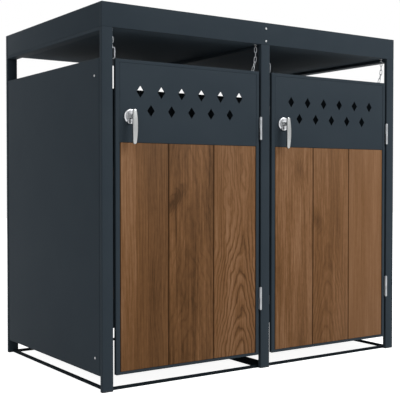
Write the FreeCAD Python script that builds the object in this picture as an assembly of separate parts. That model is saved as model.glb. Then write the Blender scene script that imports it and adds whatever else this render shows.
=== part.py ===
import FreeCAD, Part
import math
import os

# A store for two wheelie bins, in millimetres.
# While it is modelled, x runs along the front from the middle of the store, y runs back
# from the front face of the posts, and z runs up from the floor.

# Overall size
width = 1340.0
depth = 810.0
height = 1260.0

# Posts and the caps that they stand on
post_width = 40.0
post_depth = 16.0
post_wall = 1.5
cap_thickness = 3.0
cap_corner = 2.0

# Rails on the floor and under the roof
ground_bar = 10.0
ground_bar_inset = 18.0
centre_rail_height = 15.0
top_rail_height = 11.0
rail_wall = 1.2

# Folded sheet of the walls, the roof and the doors
sheet = 1.2
flange = 14.0
side_bend = 8.0
rear_bend = 2.5

# Roof box and the open slots under it and above the floor
fascia_height = 80.0
fascia_depth = 16.0
roof_corner = 2.0
slot_height = 99.0
floor_gap = 51.0

# Doors
handle_gap = 10.0
hinge_gap = 10.0
door_depth = 12.5
handle_stile = 15.5
hinge_stile = 12.3
top_rim = 11.0
bottom_rim = 9.0
header_height = 259.0
header_setback = 0.6
header_clearance = 0.2
header_bend = 1.5

# Lights cut in the header, in two staggered rows
diamond_width = 29.0
diamond_height = 40.0
diamond_pitch = 81.4
diamond_count = 6
diamond_drop = 91.5
diamond_row_step = 61.2

# Boards and the battens behind them
board_count = 3
board_setback = 1.0
board_clearance = 1.2
board_side_gap = 2.0
board_seam = 1.4
board_edge = 1.2
batten_height = 30.0
batten_thickness = 2.0
batten_inset = 2.0
batten_ends = 20.0

# Hinges
hinge_inset = 206.0
hinge_length = 80.0
knuckle_radius = 4.6
hinge_pin_radius = 2.2
hinge_post_offset = 5.0
hinge_proud = 5.0
leaf_thickness = 1.5
pin_head_radius = 3.6
pin_head_height = 1.6

# Handles, locks and cams
handle_inset = 55.0
handle_drop = 185.5
rosette_radius = 25.0
rosette_thickness = 7.0
rosette_round = 4.5
collar_radius = 9.0
collar_length = 10.0
collar_nut_size = 28.0
collar_nut_thickness = 5.0
spindle_radius = 4.0
neck_radius = 9.5
neck_tip_radius = 7.0
lever_reach = 35.0
lever_thickness = 8.0
lever_bow = 3.5
lever_above = 23.5
lever_below = 91.5
lever_width = 18.4
lever_widest_down = 25.0
lever_top_radius = 6.8
lever_tip_radius = 6.4
lever_round = 2.4
lock_across = 8.0
lock_down = 17.0
lock_boss_radius = 8.0
lock_boss_height = 5.0
lock_boss_round = 1.5
plug_radius = 5.0
plug_depth = 12.0
key_slot_width = 1.2
key_slot_height = 5.0
key_slot_depth = 6.0
cam_width = 16.0
cam_thickness = 3.0
cam_overlap = 8.0
cam_nut_size = 13.0
cam_nut_thickness = 4.0

# Rubber door stops behind the handle side of each door
stop_width = 40.0
stop_height = 36.0
stop_plate = 3.0
stop_post_edge = 20.0
stop_reach = 9.0
stop_rise = (250.0, 640.0)

# Lid chains with their eyes and snap hooks
wire = 2.4
link_length = 23.0
link_width = 10.5
chain_behind_post = 8.0
eye_wire = 2.2
eye_radius = 4.2
eye_base_radius = 6.0
eye_base_thickness = 1.6
hook_wire = 4.0
hook_length = 40.0
hook_width = 15.0
handle_chain_inset = 7.0
hinge_chain_inset = 8.0

# The lean of each link towards the middle of the bay and its turn about the vertical, with
# those of the hook last
handle_chain_lean_angles = (6.0, 5.0, 11.0, 8.0)
handle_chain_turn_angles = (60.0, -30.0, 60.0, -30.0)
hinge_chain_lean_angles = (0.0, 0.0, 8.0, 20.0, 18.0, 6.0, 0.0)
hinge_chain_turn_angles = (-38.0, 52.0, -38.0, 24.0, -66.0, 24.0, -66.0)

# Screws and the brackets that carry the side panels
head_radius = 4.0
head_height = 2.0
head_round = 1.2
shank_radius = 2.0
shank_length = 6.0
nut_sides = 6
panel_screw_inset = 34.0
panel_screw_end = 55.0
fascia_screw_heights = (13.0, 58.5)
fascia_screw_offset = 2.0
roof_screw_inset = 8.0
roof_screw_columns = 5
roof_screw_rows = 3
board_screw_edge = 30.0
bracket_height = 44.0
bracket_leg = 50.0
bracket_foot = 34.0
bracket_thickness = 2.0
bracket_bend = 9.0

# Clearances
touch_gap = 0.3
running_gap = 0.05
nut_gap = 0.05

# Places worked out from the sizes
right_face = width / 2
left_face = -right_face
roof_underside = height - fascia_height
panel_top = roof_underside - slot_height
rear_post_front = depth - post_depth
outer_post_x = right_face - post_width / 2
post_places = {"left": -outer_post_x, "centre": 0.0, "right": outer_post_x}
bay_width = outer_post_x - post_width
door_width = bay_width - handle_gap - hinge_gap
bay_starts = {"left": left_face + post_width, "right": post_width / 2}
hinge_x = bay_width - hinge_post_offset
hinge_y = -hinge_proud
handle_x = handle_gap + handle_inset
handle_z = panel_top - handle_drop
header_bottom = panel_top - top_rim - header_height
window_left = handle_gap + handle_stile
window_right = handle_gap + door_width - hinge_stile
door_back = door_depth + batten_thickness
origin_y = (depth - lever_reach) / 2
ceiling_top = roof_underside + sheet
chain_y = post_depth + chain_behind_post
nearly = 0.01


# Basic solids

def block(x0, x1, y0, y1, z0, z1):
    corner = FreeCAD.Vector(x0, y0, z0)
    return Part.makeBox(x1 - x0, y1 - y0, z1 - z0, corner)


def point(x, y, z):
    return FreeCAD.Vector(x, y, z)


def rod(radius, start, end):
    line = end.sub(start)
    return Part.makeCylinder(radius, line.Length, start, line)


def group(solids):
    return Part.makeCompound(solids)


def joined(solids):
    whole = solids[0].fuse(solids[1:])
    return whole.removeSplitter()


def rounded(shape, radius, wanted):
    edges = [edge for edge in shape.Edges if wanted(edge.CenterOfMass)]
    return shape.makeFillet(radius, edges)


def near(a, b):
    return abs(a - b) < nearly


# A hollow rectangular section, open at both ends along its run
def tube(x0, x1, y0, y1, z0, z1, wall, run):
    dx = 0 if run == "x" else wall
    dy = 0 if run == "y" else wall
    dz = 0 if run == "z" else wall
    outside = block(x0, x1, y0, y1, z0, z1)
    inside = block(x0 + dx, x1 - dx, y0 + dy, y1 - dy, z0 + dz, z1 - dz)
    return outside.cut(inside)


# Sheet folded into a shallow tray, open at the side that way names
def tray(x0, x1, y0, y1, z0, z1, wall, way, bend=0.0):
    low = [x0, y0, z0]
    high = [x1, y1, z1]
    inner_low = [value + wall for value in low]
    inner_high = [value - wall for value in high]
    axis = "xyz".index(way[1])
    outside = block(low[0], high[0], low[1], high[1], low[2], high[2])
    if way[0] == "+":
        inner_high[axis] = high[axis] + wall
        closed = (low[axis], inner_low[axis])
    else:
        inner_low[axis] = low[axis] - wall
        closed = (high[axis], inner_high[axis])
    inside = block(inner_low[0], inner_high[0], inner_low[1], inner_high[1], inner_low[2], inner_high[2])
    if bend > 0:
        middle = (z0 + z1) / 2
        outside = rounded(outside, bend, lambda c: near(c[axis], closed[0]) and near(c.z, middle))
        inside = rounded(inside, bend - wall, lambda c: near(c[axis], closed[1]) and near(c.z, middle))
    return outside.cut(inside)


# A screw with a low round head on the surface at place, driven along the vector way
def screw(place, way):
    head_top = place.sub(way * head_height)
    head = rod(head_radius, head_top, place)
    top_centre = head_top
    head = rounded(head, head_round, lambda c: c.sub(top_centre).Length < nearly)
    shank = rod(shank_radius, place, place.add(way * shank_length))
    return joined([head, shank])


def screw_hole(place, way):
    reach = shank_length + running_gap
    return rod(shank_radius + running_gap, place, place.add(way * reach))


def drilled(shape, places, way):
    if not places:
        return shape
    return shape.cut(Part.makeCompound([screw_hole(place, way) for place in places]))


# A hexagonal nut along y, with a bore
def nut(x, z, y0, across, thickness, bore):
    corner_radius = across / 2 / math.cos(math.pi / nut_sides)
    angles = [2 * math.pi * step / nut_sides for step in range(nut_sides + 1)]
    corners = [point(x + corner_radius * math.cos(a), y0, z + corner_radius * math.sin(a)) for a in angles]
    prism = Part.Face(Part.makePolygon(corners)).extrude(point(0, thickness, 0))
    return prism.cut(rod(bore, point(x, y0, z), point(x, y0 + thickness, z)))


# Frame

def post(x, front):
    y0 = 0.0 if front else rear_post_front
    half = post_width / 2
    return tube(x - half, x + half, y0, y0 + post_depth, cap_thickness, roof_underside, post_wall, "z")


def post_caps():
    caps = []
    half = post_width / 2
    for x in post_places.values():
        for y0 in (0.0, rear_post_front):
            cap = block(x - half, x + half, y0, y0 + post_depth, 0, cap_thickness)
            caps.append(rounded(cap, cap_corner, lambda c: near(c.z, cap_thickness / 2)))
    return group(caps)


def side_ground_rail(side):
    outer = side * (right_face - ground_bar_inset)
    inner = outer - side * ground_bar
    x0, x1 = sorted((outer, inner))
    return tube(x0, x1, post_depth, rear_post_front, 0, ground_bar, rail_wall, "y")


def cross_ground_rail(y0):
    reach = right_face - ground_bar_inset - ground_bar
    return tube(-reach, reach, y0, y0 + ground_bar, 0, ground_bar, rail_wall, "x")


def centre_ground_rail():
    half = post_width / 2
    front = post_depth + ground_bar
    back = rear_post_front - ground_bar
    return tray(-half, half, front, back, 0, centre_rail_height, rail_wall, "-z")


def top_rail(x):
    half = post_width / 2
    low = roof_underside - top_rail_height
    return tube(x - half, x + half, post_depth, rear_post_front, low, roof_underside, rail_wall, "y")


# Roof box

def fascia_screw_places():
    return [point(fascia_screw_offset, 0, roof_underside + rise) for rise in fascia_screw_heights]


def cross_fascia(y0):
    return tray(left_face, right_face, y0, y0 + fascia_depth, roof_underside, height - sheet, sheet, "+z")


def side_fascia(side):
    x0, x1 = sorted((side * right_face, side * (right_face - fascia_depth)))
    front = fascia_depth
    back = depth - fascia_depth
    return tray(x0, x1, front, back, roof_underside, height - sheet, sheet, "+z")


def ceiling():
    reach = right_face - fascia_depth
    return block(-reach, reach, fascia_depth, depth - fascia_depth, roof_underside, ceiling_top)


def roof_rib():
    half = post_width / 2
    back = depth - fascia_depth
    return tube(-half, half, fascia_depth, back, ceiling_top, height - sheet, rail_wall, "y")


def roof_screw_places():
    places = []
    reach_x = right_face - roof_screw_inset
    back = depth - roof_screw_inset
    for column in range(roof_screw_columns):
        x = -reach_x + 2 * reach_x * column / (roof_screw_columns - 1)
        places.append(point(x, roof_screw_inset, height))
        places.append(point(x, back, height))
    for row in range(1, roof_screw_rows + 1):
        y = roof_screw_inset + (back - roof_screw_inset) * row / (roof_screw_rows + 1)
        places.append(point(-reach_x, y, height))
        places.append(point(reach_x, y, height))
    return places


def roof_sheet():
    plate = block(left_face, right_face, 0, depth, height - sheet, height)
    plate = rounded(plate, roof_corner, lambda c: near(c.z, height - sheet / 2))
    return drilled(plate, roof_screw_places(), point(0, 0, -1))


# Walls

def side_screw_places(side):
    y = post_depth + panel_screw_inset
    heights = (floor_gap + panel_screw_end, panel_top - panel_screw_end)
    return [point(side * right_face, y, z) for z in heights]


def side_panel(side):
    x0, x1 = sorted((side * right_face, side * (right_face - flange)))
    way = "+x" if side < 0 else "-x"
    panel = tray(x0, x1, post_depth, rear_post_front, floor_gap, panel_top, sheet, way, side_bend)
    return drilled(panel, side_screw_places(side), point(-side, 0, 0))


def rear_panel(bay):
    x0 = bay_starts[bay]
    x1 = x0 + bay_width
    return tray(x0, x1, depth - flange, depth, floor_gap, panel_top, sheet, "-y", rear_bend)


# An angle behind each end of a side panel, bent round the corner of the panel's flange
def bracket(side, front, z):
    z0 = z - bracket_height / 2
    z1 = z + bracket_height / 2
    inner_face = right_face - sheet
    x0, x1 = sorted((side * inner_face, side * (inner_face - bracket_foot)))
    near_end = post_depth + sheet
    far_end = near_end + bracket_leg
    corner = block(x0, x1, near_end, far_end, z0, z1)
    outer_x = side * inner_face
    corner = rounded(corner, bracket_bend, lambda c: near(c.x, outer_x) and near(c.y, near_end))
    t = bracket_thickness
    hollow_x = sorted((side * (inner_face - t), side * (inner_face - bracket_foot - t)))
    hollow = block(hollow_x[0], hollow_x[1], near_end + t, far_end + t, z0 - t, z1 + t)
    bend_x = side * (inner_face - t)
    hollow = rounded(hollow, bracket_bend - t, lambda c: near(c.x, bend_x) and near(c.y, near_end + t))
    angle = corner.cut(hollow)
    if not front:
        angle = angle.mirror(point(0, depth / 2, 0), point(0, 1, 0))
    return angle


def brackets():
    solids = []
    for side in (-1, 1):
        holes = side_screw_places(side)
        for front in (True, False):
            for place in holes:
                angle = bracket(side, front, place.z)
                if front:
                    angle = drilled(angle, holes, point(-side, 0, 0))
                solids.append(angle)
    return group(solids)


def frame_screws():
    solids = [screw(place, point(0, 1, 0)) for place in fascia_screw_places()]
    solids += [screw(place, point(0, 0, -1)) for place in roof_screw_places()]
    for side in (-1, 1):
        solids += [screw(place, point(-side, 0, 0)) for place in side_screw_places(side)]
    return group(solids)


# Rubber stops on the rear face of the post beside each handle
def door_stops():
    solids = []
    face = door_depth + touch_gap
    for start in bay_starts.values():
        for rise in stop_rise:
            z0 = floor_gap + rise
            x0 = start - stop_post_edge
            x1 = x0 + stop_width
            plate = block(x0, x1, post_depth, post_depth + stop_plate, z0, z0 + stop_height)
            nose = block(x1 - stop_reach, x1, face, post_depth, z0, z0 + stop_height)
            solids.append(joined([plate, nose]))
    return group(solids)


# Doors

def door_frame(start):
    x0 = start + handle_gap
    x1 = x0 + door_width
    wx0 = start + window_left
    wx1 = start + window_right
    z0 = floor_gap
    z1 = panel_top
    wz0 = z0 + bottom_rim
    wz1 = z1 - top_rim
    s = sheet
    ring = block(x0, x1, 0, door_depth, z0, z1)
    ring = ring.cut(block(wx0, wx1, -s, door_depth + s, wz0, wz1))
    channel = block(x0 + s, x1 - s, s, door_depth + s, z0 + s, z1 - s)
    channel = channel.cut(block(wx0 - s, wx1 + s, 0, door_depth + s, wz0 - s, wz1 + s))
    return ring.cut(channel)


def diamond(x, z):
    half_width = diamond_width / 2
    half_height = diamond_height / 2
    y = header_setback - sheet
    corners = [(half_width, 0), (0, half_height), (-half_width, 0), (0, -half_height), (half_width, 0)]
    outline = Part.makePolygon([point(x + dx, y, z + dz) for dx, dz in corners])
    return Part.Face(outline).extrude(point(0, 3 * sheet, 0))


def diamonds(start):
    middle = start + (window_left + window_right) / 2
    top_row = panel_top - top_rim - diamond_drop
    cuts = []
    for row in range(2):
        count = diamond_count - row
        z = top_row - row * diamond_row_step
        for column in range(count):
            x = middle + (column - (count - 1) / 2) * diamond_pitch
            cuts.append(diamond(x, z))
    return group(cuts)


def door_header(start):
    x0 = start + window_left + header_clearance
    x1 = start + window_right - header_clearance
    z1 = panel_top - top_rim - header_clearance
    panel = tray(x0, x1, header_setback, door_depth, header_bottom, z1, sheet, "+y", header_bend)
    panel = panel.cut(diamonds(start))
    x = start + handle_x
    hole = rod(collar_radius + running_gap, point(x, -sheet, handle_z), point(x, door_depth, handle_z))
    return panel.cut(hole)


def board_limits(start, number):
    x0 = start + window_left + board_side_gap
    x1 = start + window_right - board_side_gap
    board_width = (x1 - x0 - (board_count - 1) * board_seam) / board_count
    left = x0 + number * (board_width + board_seam)
    return left, left + board_width


def batten_heights():
    low = floor_gap + bottom_rim + batten_ends + batten_height / 2
    high = header_bottom - batten_ends - batten_height / 2
    return (low, (low + high) / 2, high)


def board_screw_places(start, number):
    x0, x1 = board_limits(start, number)
    columns = (x0 + board_screw_edge, x1 - board_screw_edge)
    return [point(x, door_back, z) for z in batten_heights() for x in columns]


def door_board(start, number):
    x0, x1 = board_limits(start, number)
    z0 = floor_gap + bottom_rim + board_clearance
    z1 = header_bottom - board_clearance
    board = block(x0, x1, board_setback, door_depth, z0, z1)
    middle = (z0 + z1) / 2
    centres = [(edge, edge.CenterOfMass) for edge in board.Edges]
    long_edges = [edge for edge, c in centres if near(c.y, board_setback) and near(c.z, middle)]
    board = board.makeChamfer(board_edge, long_edges)
    return drilled(board, board_screw_places(start, number), point(0, -1, 0))


def door_battens(start):
    x0 = start + handle_gap + batten_inset
    x1 = start + handle_gap + door_width - batten_inset
    places = []
    for number in range(board_count):
        places += board_screw_places(start, number)
    solids = []
    for z in batten_heights():
        bar = block(x0, x1, door_depth, door_back, z - batten_height / 2, z + batten_height / 2)
        row = [place for place in places if near(place.z, z)]
        solids.append(drilled(bar, row, point(0, -1, 0)))
    return group(solids)


def door_fasteners(start):
    solids = []
    for number in range(board_count):
        for place in board_screw_places(start, number):
            solids.append(screw(place, point(0, -1, 0)))
    back = header_setback + sheet
    x = start + handle_x
    solids.append(nut(x, handle_z, back, collar_nut_size, collar_nut_thickness, collar_radius + nut_gap))
    return group(solids)


# Hinges: the door's knuckle stands on the post's knuckle, round one pin

def hinge_heights():
    return (floor_gap + hinge_inset, panel_top - hinge_inset)


def knuckle(x, z0, z1):
    return rod(knuckle_radius, point(x, hinge_y, z0), point(x, hinge_y, z1))


# A leaf runs straight back from its knuckle, flat on the side face that carries it
def leaf(x, face_x, turn, reach, z0, z1):
    x0, x1 = sorted((face_x, face_x + turn * leaf_thickness))
    plate = block(x0, x1, hinge_y, reach, z0, z1)
    bore = rod(hinge_pin_radius + running_gap, point(x, hinge_y, z0), point(x, hinge_y, z1))
    return joined([knuckle(x, z0, z1), plate]).cut(bore)


def door_leaves(start):
    x = start + hinge_x
    door_edge = start + handle_gap + door_width
    solids = []
    for middle in hinge_heights():
        z0 = middle + touch_gap / 2
        solids.append(leaf(x, door_edge, 1, door_depth, z0, middle + hinge_length / 2))
    return group(solids)


def post_leaves():
    solids = []
    for start in bay_starts.values():
        for middle in hinge_heights():
            z1 = middle - touch_gap / 2
            z0 = middle - hinge_length / 2
            solids.append(leaf(start + hinge_x, start + bay_width, -1, post_depth, z0, z1))
    return group(solids)


def hinge_pins():
    solids = []
    for start in bay_starts.values():
        x = start + hinge_x
        for middle in hinge_heights():
            low = point(x, hinge_y, middle - hinge_length / 2)
            high = point(x, hinge_y, middle + hinge_length / 2 + touch_gap)
            up = point(0, 0, pin_head_height)
            parts = [rod(hinge_pin_radius, low, high)]
            parts.append(rod(pin_head_radius, low.sub(up), low))
            parts.append(rod(pin_head_radius, high, high.add(up)))
            solids.append(joined(parts))
    return group(solids)


# Handles

def rosette(start):
    x = start + handle_x
    z = handle_z
    back = header_setback
    front = back - rosette_thickness
    disc = rod(rosette_radius, point(x, front, z), point(x, back, z))
    disc = rounded(disc, rosette_round, lambda c: near(c.y, front))
    collar = rod(collar_radius, point(x, back, z), point(x, back + collar_length, z))
    lock_x = x - lock_across
    lock_z = z - lock_down
    boss_front = front - lock_boss_height
    boss = rod(lock_boss_radius, point(lock_x, boss_front, lock_z), point(lock_x, back, lock_z))
    boss = rounded(boss, lock_boss_round, lambda c: near(c.y, boss_front))
    whole = joined([disc, collar, boss])
    collar_end = back + collar_length
    spindle_bore = rod(spindle_radius + running_gap, point(x, front, z), point(x, collar_end, z))
    plug_end = boss_front + plug_depth + running_gap
    plug_start = point(lock_x, boss_front, lock_z)
    plug_bore = rod(plug_radius + running_gap, plug_start, point(lock_x, plug_end, lock_z))
    return whole.cut(spindle_bore).cut(plug_bore)


def lock_plug(start):
    x = start + handle_x - lock_across
    z = handle_z - lock_down
    front = header_setback - rosette_thickness - lock_boss_height - touch_gap
    plug = rod(plug_radius, point(x, front, z), point(x, front + plug_depth, z))
    half_width = key_slot_width / 2
    half_height = key_slot_height / 2
    slot_end = front + key_slot_depth
    slot = block(x - half_width, x + half_width, front, slot_end, z - half_height, z + half_height)
    return plug.cut(slot)


# The blade seen from the front: round ends, and sides that swell to the widest place
def blade_outline(x, y):
    top_z = handle_z + lever_above - lever_top_radius
    tip_z = handle_z - lever_below + lever_tip_radius
    wide_z = handle_z - lever_widest_down
    half_width = lever_width / 2
    top = Part.Arc(
        point(x - lever_top_radius, y, top_z),
        point(x, y, top_z + lever_top_radius),
        point(x + lever_top_radius, y, top_z),
    )
    right = Part.Arc(
        point(x + lever_top_radius, y, top_z),
        point(x + half_width, y, wide_z),
        point(x + lever_tip_radius, y, tip_z),
    )
    tip = Part.Arc(
        point(x + lever_tip_radius, y, tip_z),
        point(x, y, tip_z - lever_tip_radius),
        point(x - lever_tip_radius, y, tip_z),
    )
    left = Part.Arc(
        point(x - lever_tip_radius, y, tip_z),
        point(x - half_width, y, wide_z),
        point(x - lever_top_radius, y, top_z),
    )
    return Part.Wire([edge.toShape() for edge in (top, right, tip, left)])


# The blade seen from the side: a strip bowed away from the door
def bowed_strip(x):
    high = handle_z + lever_above
    low = handle_z - lever_below
    middle = (high + low) / 2
    front = -lever_reach
    back = front + lever_thickness
    x0 = x - lever_width
    corners = [point(x0, front + lever_bow, high), point(x0, front + lever_bow, low)]
    corners += [point(x0, back + lever_bow, low), point(x0, back + lever_bow, high)]
    front_arc = Part.Arc(corners[0], point(x0, front, middle), corners[1]).toShape()
    low_end = Part.LineSegment(corners[1], corners[2]).toShape()
    back_arc = Part.Arc(corners[2], point(x0, back, middle), corners[3]).toShape()
    high_end = Part.LineSegment(corners[3], corners[0]).toShape()
    profile = Part.Wire([front_arc, low_end, back_arc, high_end])
    return Part.Face(profile).extrude(point(2 * lever_width, 0, 0))


def cam_back():
    return post_depth + touch_gap + cam_thickness


def lever(start):
    x = start + handle_x
    z = handle_z
    blade = Part.Face(blade_outline(x, -lever_reach)).extrude(point(0, lever_thickness + lever_bow, 0))
    blade = blade.common(bowed_strip(x))
    blade = blade.makeFillet(lever_round, blade.Edges)
    inside_blade = (lever_thickness + lever_bow) / 2 - lever_reach
    rosette_front = header_setback - rosette_thickness
    neck_start = rosette_front - touch_gap
    neck_length = neck_start - inside_blade
    neck_base = point(x, neck_start, z)
    neck = Part.makeCone(neck_radius, neck_tip_radius, neck_length, neck_base, point(0, -1, 0))
    spindle_end = cam_back() + cam_nut_thickness
    spindle = rod(spindle_radius, point(x, inside_blade, z), point(x, spindle_end, z))
    return joined([blade, neck, spindle])


# The cam hangs down behind the door and turns up behind the post beside the handle
def cam(start):
    x = start + handle_x
    z = handle_z
    y0 = post_depth + touch_gap
    y1 = cam_back()
    half = cam_width / 2
    reach = handle_x + cam_overlap - half
    arm = block(x - half, x + half, y0, y1, z - reach, z)
    tip = rod(half, point(x, y0, z - reach), point(x, y1, z - reach))
    hub = rod(half, point(x, y0, z), point(x, y1, z))
    bore = rod(spindle_radius, point(x, y0, z), point(x, y1, z))
    plate = joined([arm, tip, hub]).cut(bore)
    return group([plate, nut(x, z, y1, cam_nut_size, cam_nut_thickness, spindle_radius)])


# Chains

def oblong_ring(length, breadth, thickness):
    radius = (breadth - thickness) / 2
    straight = length / 2 - thickness / 2 - radius
    up = point(radius, 0, straight)
    across = point(-radius, 0, straight)
    down = point(-radius, 0, -straight)
    home = point(radius, 0, -straight)
    top = Part.Arc(up, point(0, 0, straight + radius), across).toShape()
    left = Part.LineSegment(across, down).toShape()
    bottom = Part.Arc(down, point(0, 0, -straight - radius), home).toShape()
    right = Part.LineSegment(home, up).toShape()
    path = Part.Wire([right, top, left, bottom])
    circle = Part.Circle(home, point(0, 0, 1), thickness / 2).toShape()
    return path.makePipeShell([Part.Wire([circle])], True, False)


# The ring turned about the vertical, then leaned in the plane of the front, and put at its place
def placed_ring(length, breadth, thickness, turn, lean, place):
    ring = oblong_ring(length, breadth, thickness)
    ring.rotate(point(0, 0, 0), point(0, 0, 1), turn)
    ring.rotate(point(0, 0, 0), point(0, 1, 0), -lean)
    ring.translate(place)
    return ring


def eye_centre(x):
    return point(x, chain_y, roof_underside - eye_base_thickness - eye_radius)


# Links that hang from the eye, and the hook that hangs from the last link
def chain(x, inward, leans, turns):
    sizes = [(link_length, link_width, wire)] * (len(leans) - 1)
    sizes.append((hook_length, hook_width, hook_wire))
    upper_wire = eye_wire
    upper_z = eye_centre(x).z - eye_radius
    held_at = point(x, chain_y, upper_z)
    solids = []
    for (length, breadth, thickness), lean, turn in zip(sizes, leans, turns):
        angle = math.radians(inward * lean)
        down = point(math.sin(angle), 0, -math.cos(angle))
        seat = (upper_wire + thickness) / 2 + touch_gap
        middle = held_at.add(down * (length / 2 - thickness / 2 - seat))
        solids.append(placed_ring(length, breadth, thickness, turn, inward * lean, middle))
        held_at = middle.add(down * (length / 2 - thickness / 2))
        upper_wire = thickness
    return group(solids)


# For each chain: its place, the way it leans along x, and the angles of its links and hook
def chain_places(bay):
    start = bay_starts[bay]
    hinge_side_x = start + bay_width - hinge_chain_inset
    return {
        "handle_side": (start + handle_chain_inset, 1, handle_chain_lean_angles, handle_chain_turn_angles),
        "hinge_side": (hinge_side_x, -1, hinge_chain_lean_angles, hinge_chain_turn_angles),
    }


def chain_eyes():
    solids = []
    for bay in bay_starts:
        for x, inward, leans, turns in chain_places(bay).values():
            centre = eye_centre(x)
            turn = math.radians(turns[0])
            across = point(math.cos(turn), math.sin(turn), 0)
            ring = Part.makeTorus(eye_radius, eye_wire / 2, centre, across)
            base = rod(
                eye_base_radius,
                point(x, chain_y, roof_underside - eye_base_thickness),
                point(x, chain_y, roof_underside),
            )
            solids.append(joined([base, ring]))
    return group(solids)


# Every node by name

def all_nodes():
    nodes = {}
    for name, x in post_places.items():
        nodes["front_post_" + name] = post(x, True)
        nodes["rear_post_" + name] = post(x, False)
        nodes["top_rail_" + name] = top_rail(x)
    nodes["post_caps"] = post_caps()
    nodes["ground_rail_left"] = side_ground_rail(-1)
    nodes["ground_rail_right"] = side_ground_rail(1)
    nodes["ground_rail_front"] = cross_ground_rail(post_depth)
    nodes["ground_rail_rear"] = cross_ground_rail(rear_post_front - ground_bar)
    nodes["ground_rail_centre"] = centre_ground_rail()
    nodes["fascia_front"] = drilled(cross_fascia(0.0), fascia_screw_places(), point(0, 1, 0))
    nodes["fascia_rear"] = cross_fascia(depth - fascia_depth)
    nodes["fascia_left"] = side_fascia(-1)
    nodes["fascia_right"] = side_fascia(1)
    nodes["roof_sheet"] = roof_sheet()
    nodes["ceiling_sheet"] = ceiling()
    nodes["roof_rib"] = roof_rib()
    nodes["side_panel_left"] = side_panel(-1)
    nodes["side_panel_right"] = side_panel(1)
    nodes["panel_brackets"] = brackets()
    nodes["frame_screws"] = frame_screws()
    nodes["door_stops"] = door_stops()
    nodes["hinge_post_leaves"] = post_leaves()
    nodes["hinge_pins"] = hinge_pins()
    nodes["chain_eyes"] = chain_eyes()
    for bay, start in bay_starts.items():
        nodes["rear_panel_" + bay] = rear_panel(bay)
        door = bay + "_door_"
        nodes[door + "frame"] = door_frame(start)
        nodes[door + "header"] = door_header(start)
        for number in range(board_count):
            nodes[door + "board_" + str(number + 1)] = door_board(start, number)
        nodes[door + "battens"] = door_battens(start)
        nodes[door + "fasteners"] = door_fasteners(start)
        nodes[door + "hinge_leaves"] = door_leaves(start)
        nodes[bay + "_rosette"] = rosette(start)
        nodes[bay + "_lock_plug"] = lock_plug(start)
        nodes[bay + "_lever"] = lever(start)
        nodes[bay + "_cam"] = cam(start)
        for end, (x, inward, leans, turns) in chain_places(bay).items():
            nodes[bay + "_bay_chain_" + end] = chain(x, inward, leans, turns)
    return nodes


# The frame's origin is on the floor, under the middle of the whole store with its handles
def save(nodes):
    os.makedirs("parts", exist_ok=True)
    for name, shape in nodes.items():
        placed = shape.copy()
        placed.translate(point(0, -origin_y, 0))
        placed.exportStep(os.path.join("parts", name + ".step"))


save(all_nodes())
print("origin is", origin_y, "mm behind the front face of the posts")
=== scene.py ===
import math

import bmesh
import bpy
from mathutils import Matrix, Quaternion, Vector


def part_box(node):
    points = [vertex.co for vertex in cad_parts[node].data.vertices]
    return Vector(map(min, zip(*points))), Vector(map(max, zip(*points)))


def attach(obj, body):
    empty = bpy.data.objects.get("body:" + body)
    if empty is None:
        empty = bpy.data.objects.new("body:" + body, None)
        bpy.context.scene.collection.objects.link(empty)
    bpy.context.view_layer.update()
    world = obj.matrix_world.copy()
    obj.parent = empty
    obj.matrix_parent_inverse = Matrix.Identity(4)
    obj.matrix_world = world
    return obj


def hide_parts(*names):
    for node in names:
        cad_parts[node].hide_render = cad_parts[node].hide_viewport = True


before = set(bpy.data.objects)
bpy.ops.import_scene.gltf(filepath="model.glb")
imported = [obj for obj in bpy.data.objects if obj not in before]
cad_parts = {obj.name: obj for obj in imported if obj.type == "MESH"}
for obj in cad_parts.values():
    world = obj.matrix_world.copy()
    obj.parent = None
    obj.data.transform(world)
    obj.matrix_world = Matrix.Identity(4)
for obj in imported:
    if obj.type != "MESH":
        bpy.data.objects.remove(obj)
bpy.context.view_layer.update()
print("frame loaded with", len(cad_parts), "nodes")


# Modelling helpers. Everything is in metres, and each piece keeps its place in its mesh.

def activate(piece):
    bpy.ops.object.select_all(action="DESELECT")
    piece.select_set(True)
    bpy.context.view_layer.objects.active = piece


def applyPlace():
    bpy.ops.object.transform_apply()


def addBlock(low, high):
    middle = [(a + b) / 2 for a, b in zip(low, high)]
    bpy.ops.mesh.primitive_cube_add(size=1, location=middle)
    piece = bpy.context.object
    piece.scale = [b - a for a, b in zip(low, high)]
    applyPlace()
    return piece


def addRod(start, end, radius, sides=32, endRadius=None, roll=0.0):
    line = Vector(end) - Vector(start)
    turn = line.to_track_quat("Z", "Y") @ Quaternion((0, 0, 1), roll)
    bpy.ops.mesh.primitive_cone_add(
        vertices=sides,
        radius1=radius,
        radius2=radius if endRadius is None else endRadius,
        depth=line.length,
        location=(Vector(start) + Vector(end)) / 2,
        rotation=turn.to_euler(),
    )
    applyPlace()
    return bpy.context.object


def edit(piece):
    activate(piece)
    bpy.ops.object.mode_set(mode="EDIT")
    bpy.ops.mesh.select_all(action="DESELECT")


def leaveEdit():
    bpy.ops.object.mode_set(mode="OBJECT")


# Closer than any two corners of a piece
def near(a, b):
    return abs(a - b) < 0.00001


def startPick(mode):
    bpy.ops.mesh.select_mode(type=mode)
    bpy.ops.mesh.select_all(action="DESELECT")
    return bmesh.from_edit_mesh(bpy.context.object.data)


def pick(parts):
    for part in parts:
        part.select_set(True)
    bmesh.update_edit_mesh(bpy.context.object.data)


# Selects the faces whose centre and normal are wanted
def pickFaces(wanted):
    mesh = startPick("FACE")
    pick([f for f in mesh.faces if wanted(f.calc_center_median(), f.normal)])


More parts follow.
